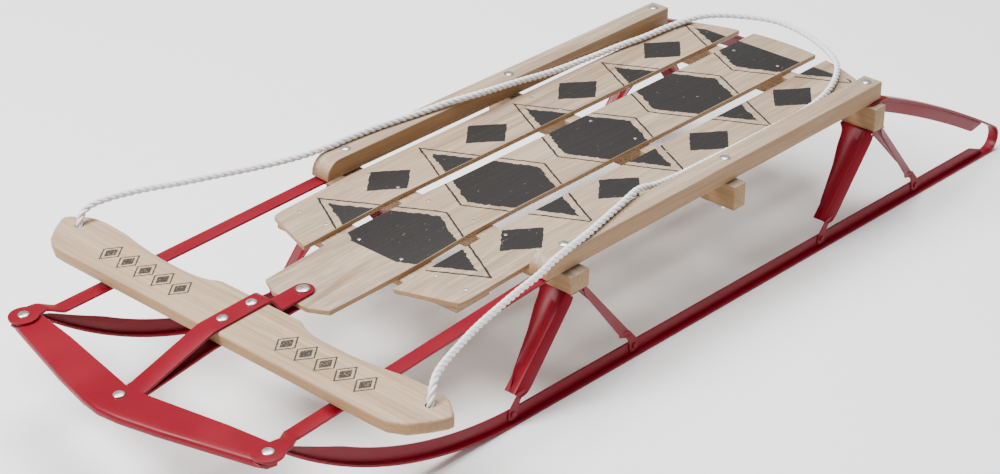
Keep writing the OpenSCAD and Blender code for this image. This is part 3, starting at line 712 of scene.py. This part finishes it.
for name, side in SIDES:
    def x_of(_, side=side):
        return side * RUNNER_X

    def x_back(y, side=side):
        return side * (RUNNER_X - lean * max(0, turn_y - y))

    def sheet_high(_):
        return STRAP_T

    parts = Parts()
    front_line = [tip_end] + sweep + sole
    rear_line = [sole[-1]] + u_turn + back_run
    parts.loft(strip_rings(front_line, x_of, FLANGE / 2, 0, sheet_high, 0.6))
    parts.loft(strip_rings(rear_line, x_back, FLANGE / 2, 0, sheet_high, 0.6))

    def web_high(y):
        rise = min(1, max(0, (y - tip_bend[0]) / 70))
        tail = min(1, max(0, (turn_y - 8 - y) / 14))
        return STRAP_T + 0.3 + (RUNNER_H - STRAP_T - 0.3) * rise ** 0.6 * tail

    web_line = [p for p in sweep + sole if p[0] < turn_y - 8]
    web_line += [(turn_y - 14, 0), (turn_y - 11, 0), (turn_y - 8, 0)]
    parts.loft(strip_rings(web_line, x_of, WEB_T / 2, STRAP_T - 0.2, web_high, 0.5))

    def back_high(y):
        rise = min(1, max(0, (turn_y - 12 - y) / 16))
        tail = min(1, max(0, (y - WEB_END) / 12))
        return STRAP_T + 0.3 + (RUNNER_H - STRAP_T - 0.3) * rise * tail

    back_web = [p for p in bezier(u_turn[-1], lean_point, tab_end, 60) if WEB_END < p[0] < turn_y - 12]
    parts.loft(strip_rings(back_web, x_back, WEB_T / 2, STRAP_T - 0.2, back_high, 0.5))
    runner = parts.object("runner_bar_" + name)
    tab_outline = [(TAB_X + TAB_R, TAB_END), (TAB_X - TAB_R, TAB_END)]
    tab_outline += [(TAB_X + TAB_R * math.cos(a), BENCH_YS[2] + TAB_R * math.sin(a))
                    for a in (math.pi + math.pi * i / 12 for i in range(13))]
    tab = plate("runner_tab_" + name, tab_outline, 0, STRAP_T, 0.5,
                lambda x, y, z, side=side: on_deck(side * x, y, z))
    finish_piece(tab, red, "red_paint", "frame")
    runner_nodes = ["runner_" + part + name for part in ("", "rise_", "turn_", "return_", "tip_")]
    finish_piece(runner, red, "red_paint", None, *runner_nodes)
    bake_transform(runner)

# ---- side straps ----
for name, side in SIDES:
    half = 9
    joggle_y = CORNER_Y + 22
    joggle_end = joggle_y + 14
    strap_line = eased([(CORNER_Y - 30, -0.7), (joggle_y, -0.7), (joggle_end, -6), (300, -6)], 5)
    outline = [(RAIL_X + half, NOSE_RUN + 31), (RAIL_X - half, NOSE_RUN + 31), (RAIL_X - half, NOSE_RUN)]
    outline += [(170 - half, joggle_end), (CORNER_X - half, joggle_y), (CORNER_X - 11, CORNER_Y + 12)]
    outline += [(CORNER_X + 16 * math.cos(a), CORNER_Y + 16 * math.sin(a))
                for a in (math.radians(150) + math.radians(240) * i / 20 for i in range(21))]
    outline += [(CORNER_X + 11, CORNER_Y + 12), (CORNER_X + half, joggle_y), (170 + half, joggle_end)]
    outline += [(RAIL_X + half, NOSE_RUN)]
    if side < 0:
        outline = [(-x, y) for x, y in reversed(outline)]

    def strap_place(x, y, z, line=strap_line):
        if y > NOSE_RUN:
            return on_deck(x, BEND_Y + y - NOSE_RUN, z)
        height, steep = profile_height(line, y)
        return on_steer(x, y, height + z * math.sqrt(1 + steep * steep))

    strap = plate("strap_bar_" + name, outline, 0, STRAP_T, 0.6, strap_place,
                  [p[0] for p in strap_line] + [NOSE_RUN, NOSE_RUN + 1, 0, 60, 120, -60, -120])
    finish_piece(strap, red, "red_paint", None, "side_strap_" + name, "strap_tip_" + name)
    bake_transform(strap)

# ---- steering bar and its straps ----
bar_half = [(0, -124), (226, -124), (242, -123), (260, -114), (273, -98), (282.5, -83), (284, -77)]
bar_half += [(279, -71), (263, -60), (252, -56.5), (236, -55.5)]
bar_half += bezier((205, -57), (170, -64), (135, -66), 6) + bezier((105, -66), (75, -66), (62, -57), 6)
bar_half += [(55, -55), (0, -55)]
bar = plate("steering_board", mirrored(bar_half), BAR_Z, BAR_Z + BAR_T, 3.2, on_steer)
drill_parts = Parts()
for _, side in SIDES:
    drill_parts.loft([[on_steer(side * HOLE_X + HOLE_R * math.cos(a), HOLE_Y + HOLE_R * math.sin(a), z)
                       for a in (2 * math.pi * k / 32 for k in range(32))] for z in (-5, 30)])
drill = drill_parts.object("drill")
cut = bar.modifiers.new("rope_holes", "BOOLEAN")
cut.operation = "DIFFERENCE"
cut.object = drill
bpy.context.view_layer.update()
evaluated = bar.evaluated_get(bpy.context.evaluated_depsgraph_get())
drilled = bpy.data.meshes.new_from_object(evaluated)
bar.modifiers.clear()
bar.data = drilled
bpy.data.objects.remove(drill)
bar.data.shade_smooth()
bar.data.set_sharp_from_angle(angle=math.radians(40))
finish_piece(bar, wood("bar_wood_grain", "X", 17, (0.48, 0.355, 0.24), (0.30, 0.19, 0.105), bar_print),
             "bar_wood", "steering", "steering_bar")


def centre_strap(name, corners, node):
    line = eased(corners, 4)
    quarter = [math.pi / 2 * i / 8 for i in range(9)]
    half = [(12 * math.cos(a), -STEER_REACH + 12 * math.sin(a)) for a in (-math.pi / 2 + q for q in quarter)]
    half += [(12 * math.cos(a), 12 * math.sin(a)) for a in quarter]

    def place(x, y, z):
        height, steep = profile_height(line, y)
        return on_steer(x, y, height + z * math.sqrt(1 + steep * steep))

    piece = plate(name, mirrored(half), 0, STRAP_T, 0.6, place, [p[0] for p in line])
    finish_piece(piece, red, "red_paint", "steering", node)


over_bar = [(-STEER_REACH - 20, -6.6), (-215, -6.6), (-127, 17), (-52, 17), (-42, 0.3), (20, 0.3)]
under_bar = [(-STEER_REACH - 20, -9.4), (-211, -9.4), (-127, -0.8), (-52, -0.8), (-42, -9.1), (20, -9.1)]
centre_strap("strap_over_bar", over_bar, "centre_strap_upper")
centre_strap("strap_under_bar", under_bar, "centre_strap_lower")

# ---- bumper ----
outer_edge = [(0, -267), (26, -264), (74, -253.5), (176, -226.5), (186, -222), (189, -213)]
inner_edge = [(0, -224.5), (118, -203.5), (166, -197.5), (182, -196.5), (189, -200)]


def edge_at(edge, x):
    for (x0, y0), (x1, y1) in zip(edge, edge[1:]):
        if x <= x1:
            return y0 + (y1 - y0) * (x - x0) / (x1 - x0)
    return edge[-1][1]


stations = sorted({x for x, _ in outer_edge + inner_edge} | {16 * k for k in range(12)})
stations = [-x for x in reversed(stations) if x > 0] + stations
top_curve = [(0, -8.6), (0.2, -5.5), (1.2, -3.2), (3, -1.8), (5.6, -1.1), (9, -1)]
rings = []
for x in stations:
    outer = edge_at(outer_edge, abs(x))
    inner = edge_at(inner_edge, abs(x))
    top = [(outer + dy, z) for dy, z in top_curve] + [(inner - 0.8, -1), (inner, -1.7)]
    low = [(inner, -2.8), (inner - 0.8, -3.5), (outer + 9.6, -3.5), (outer + 6.6, -3.6), (outer + 4.4, -4.4),
           (outer + 3, -6), (outer + 2.6, -8.6), (outer + 1.8, -9.7), (outer + 0.6, -9.7)]
    rings.append([on_steer(x, y, z) for y, z in top + low])
sheet = Parts()
sheet.loft(rings)
bumper = sheet.object("bumper_sheet")
finish_piece(bumper, red, "red_paint", "bumper", "bumper")

# ---- knees ----
SADDLE_HALF = 13
SADDLE_X = (137, 182)
FOOT_Y = 102
FOOT_Z = 18
LEG_SHARE = 0.86
LEG_STEPS = 32
LEG_ANGLE = math.atan2(FOOT_Y - SADDLE_HALF, KNEE_H - FOOT_Z)
LEG_LEN = math.hypot(FOOT_Y - SADDLE_HALF, KNEE_H - FOOT_Z)
WEB_FACE = RUNNER_X + WEB_T / 2
RIDGE = WEB_FACE - 3
SHEET = 1.6


def leg_point(x, out, down):
    """Across the sled, out of the leg's face, and down along the leg."""
    dy, dz = turned(out, -down, LEG_ANGLE)
    return x, SADDLE_HALF + dy, KNEE_H + dz


def along_line(line, at):
    """The height of a bent line at a place, and flat beyond its ends."""
    if at <= line[0][0]:
        return line[0][1]
    return profile_height(line, at)[0]


# By the share of the leg's length: its inner edge, across the sled, and how deep its flange is.
INNER_EDGE = [(0, 137), (0.02, 140), (0.05, 143.5), (0.10, 145.5), (0.18, 147), (0.38, 154), (0.70, 161),
              (LEG_SHARE, 167.5)]
FLANGE_DEPTH = [(0, 7), (0.04, 9), (0.40, 11), (0.76, 13), (0.80, 12), (0.83, 9.5), (LEG_SHARE, 5)]


def leg_section(part):
    """The pressed sheet's section, as [x, out]: a creased face, a rolled ridge and a side flange."""
    inner = along_line(INNER_EDGE, part)
    depth = along_line(FLANGE_DEPTH, part)
    crease = 1.8 * min(1, part / 0.12) * min(1, (0.90 - part) / 0.12)
    face = [(inner, 0), (inner + 2, 0.5), (RIDGE - 13, 0.2), (RIDGE - 9, -crease)]
    face += [(RIDGE - 5, -crease * 0.4), (RIDGE - 1, 0.5)]
    roll = [(RIDGE + 0.8, 0.3), (RIDGE + 1.8, -0.8), (RIDGE + 5.6, -depth + 1), (RIDGE + 6, -depth)]
    back = [(RIDGE + 4.6, -depth - 0.2), (RIDGE + 0.6, -1.6 - SHEET * 0.4), (RIDGE - 1, -SHEET + 0.3),
            (RIDGE - 5, -crease * 0.4 - SHEET), (RIDGE - 9, -crease - SHEET), (RIDGE - 13, 0.2 - SHEET),
            (inner + 2, 0.5 - SHEET), (inner, -SHEET)]
    return face + roll + back


def foot_outline():
    ankle = leg_point(0, 0, 0.84 * LEG_LEN)
    outline = [(ankle[1], ankle[2]), (70, 36), (72, 30), (82, 28), (86, 22), (89, 8), (92, 5), (100, 5)]
    outline += [(103, 8), (FOOT_Y, FOOT_Z)]
    return softened(outline, 2, 2)


for name, side in SIDES:
    for place_name, bench_y in (("front", BENCH_YS[0]), ("rear", BENCH_YS[2])):
        parts = Parts()
        for way in (-1, 1):
            rings = []
            for k in range(LEG_STEPS + 1):
                part = LEG_SHARE * k / LEG_STEPS
                ring = []
                for x, out in leg_section(part):
                    x, y, z = leg_point(x, out, part * LEG_LEN + 1)
                    ring.append(level(side * x, bench_y + way * y, z))
                rings.append(ring)
            parts.loft(rings)
            foot = foot_outline()
            tiers = [(0.5, 0), (0, 0.5), (0, SHEET - 0.5), (0.5, SHEET)]
            parts.loft([[level(side * (WEB_FACE + up), bench_y + way * p.x, p.y)
                         for p in offset_outline(foot, inset)] for inset, up in tiers])
        which = place_name + "_" + name
        knee = parts.object("knee_pressing_" + which, 32)
        saddle_outline = rectangle(*SADDLE_X, -SADDLE_HALF - 0.4, SADDLE_HALF + 0.4, 2)
        saddle = plate("knee_saddle_" + which, saddle_outline, KNEE_H - 2, KNEE_H, 0.5,
                       lambda x, y, z, side=side, bench_y=bench_y: level(side * x, y + bench_y, z))
        finish_piece(saddle, red, "red_paint", "frame")
        finish_piece(knee, red, "red_paint", "frame", "knee_" + which)

# ---- what the CAD already has right: only its material changes ----
nodes["knee_welds"].data.materials.clear()
nodes["knee_welds"].data.materials.append(red)
for name in ("rail_bolts", "rail_nuts", "rail_spacers", "pivot_bolt", "pivot_nut", "bar_rivets",
             "bumper_pin", "corner_rivet_left", "corner_rivet_right"):
    nodes[name].data.materials.clear()
    nodes[name].data.materials.append(zinc)

# ---- floor and light ----
FLOOR_HALF = 30
floor_corners = [(x * FLOOR_HALF, y * FLOOR_HALF, 0) for x, y in ((-1, -1), (1, -1), (1, 1), (-1, 1))]
floor_mesh = bpy.data.meshes.new("floor")
floor_mesh.from_pydata(floor_corners, [], [(0, 1, 2, 3)])
floor = bpy.data.objects.new("floor", floor_mesh)
bpy.context.scene.collection.objects.link(floor)
floor_tree = Tree("floor_paper")
paper = floor_tree.noise(floor_tree.mapped((1, 1, 1)), 30, 3)
white = floor_tree.mix(paper, (0.95, 0.95, 0.95), (0.97, 0.97, 0.97))
floor_tree.link(white, floor_tree.shader.inputs["Base Color"])
floor_tree.shader.inputs["Roughness"].default_value = 0.9
floor.data.materials.append(floor_tree.material)

world = bpy.data.worlds.new("studio")
bpy.context.scene.world = world
world.use_nodes = True
world.node_tree.nodes["Background"].inputs["Color"].default_value = (1, 1, 1, 1)
world.node_tree.nodes["Background"].inputs["Strength"].default_value = 0.42


def softbox(name, place, size, watts):
    data = bpy.data.lights.new(name, "AREA")
    data.shape = "DISK"
    data.size = size
    data.energy = watts
    lamp = bpy.data.objects.new(name, data)
    bpy.context.scene.collection.objects.link(lamp)
    lamp.location = place
    lamp.rotation_euler = (-Vector(place)).to_track_quat("-Z", "Y").to_euler()


softbox("key", (-1.3, -2.6, 3.2), 1.8, 260)
softbox("top", (-0.4, 0.2, 3.8), 2.6, 210)
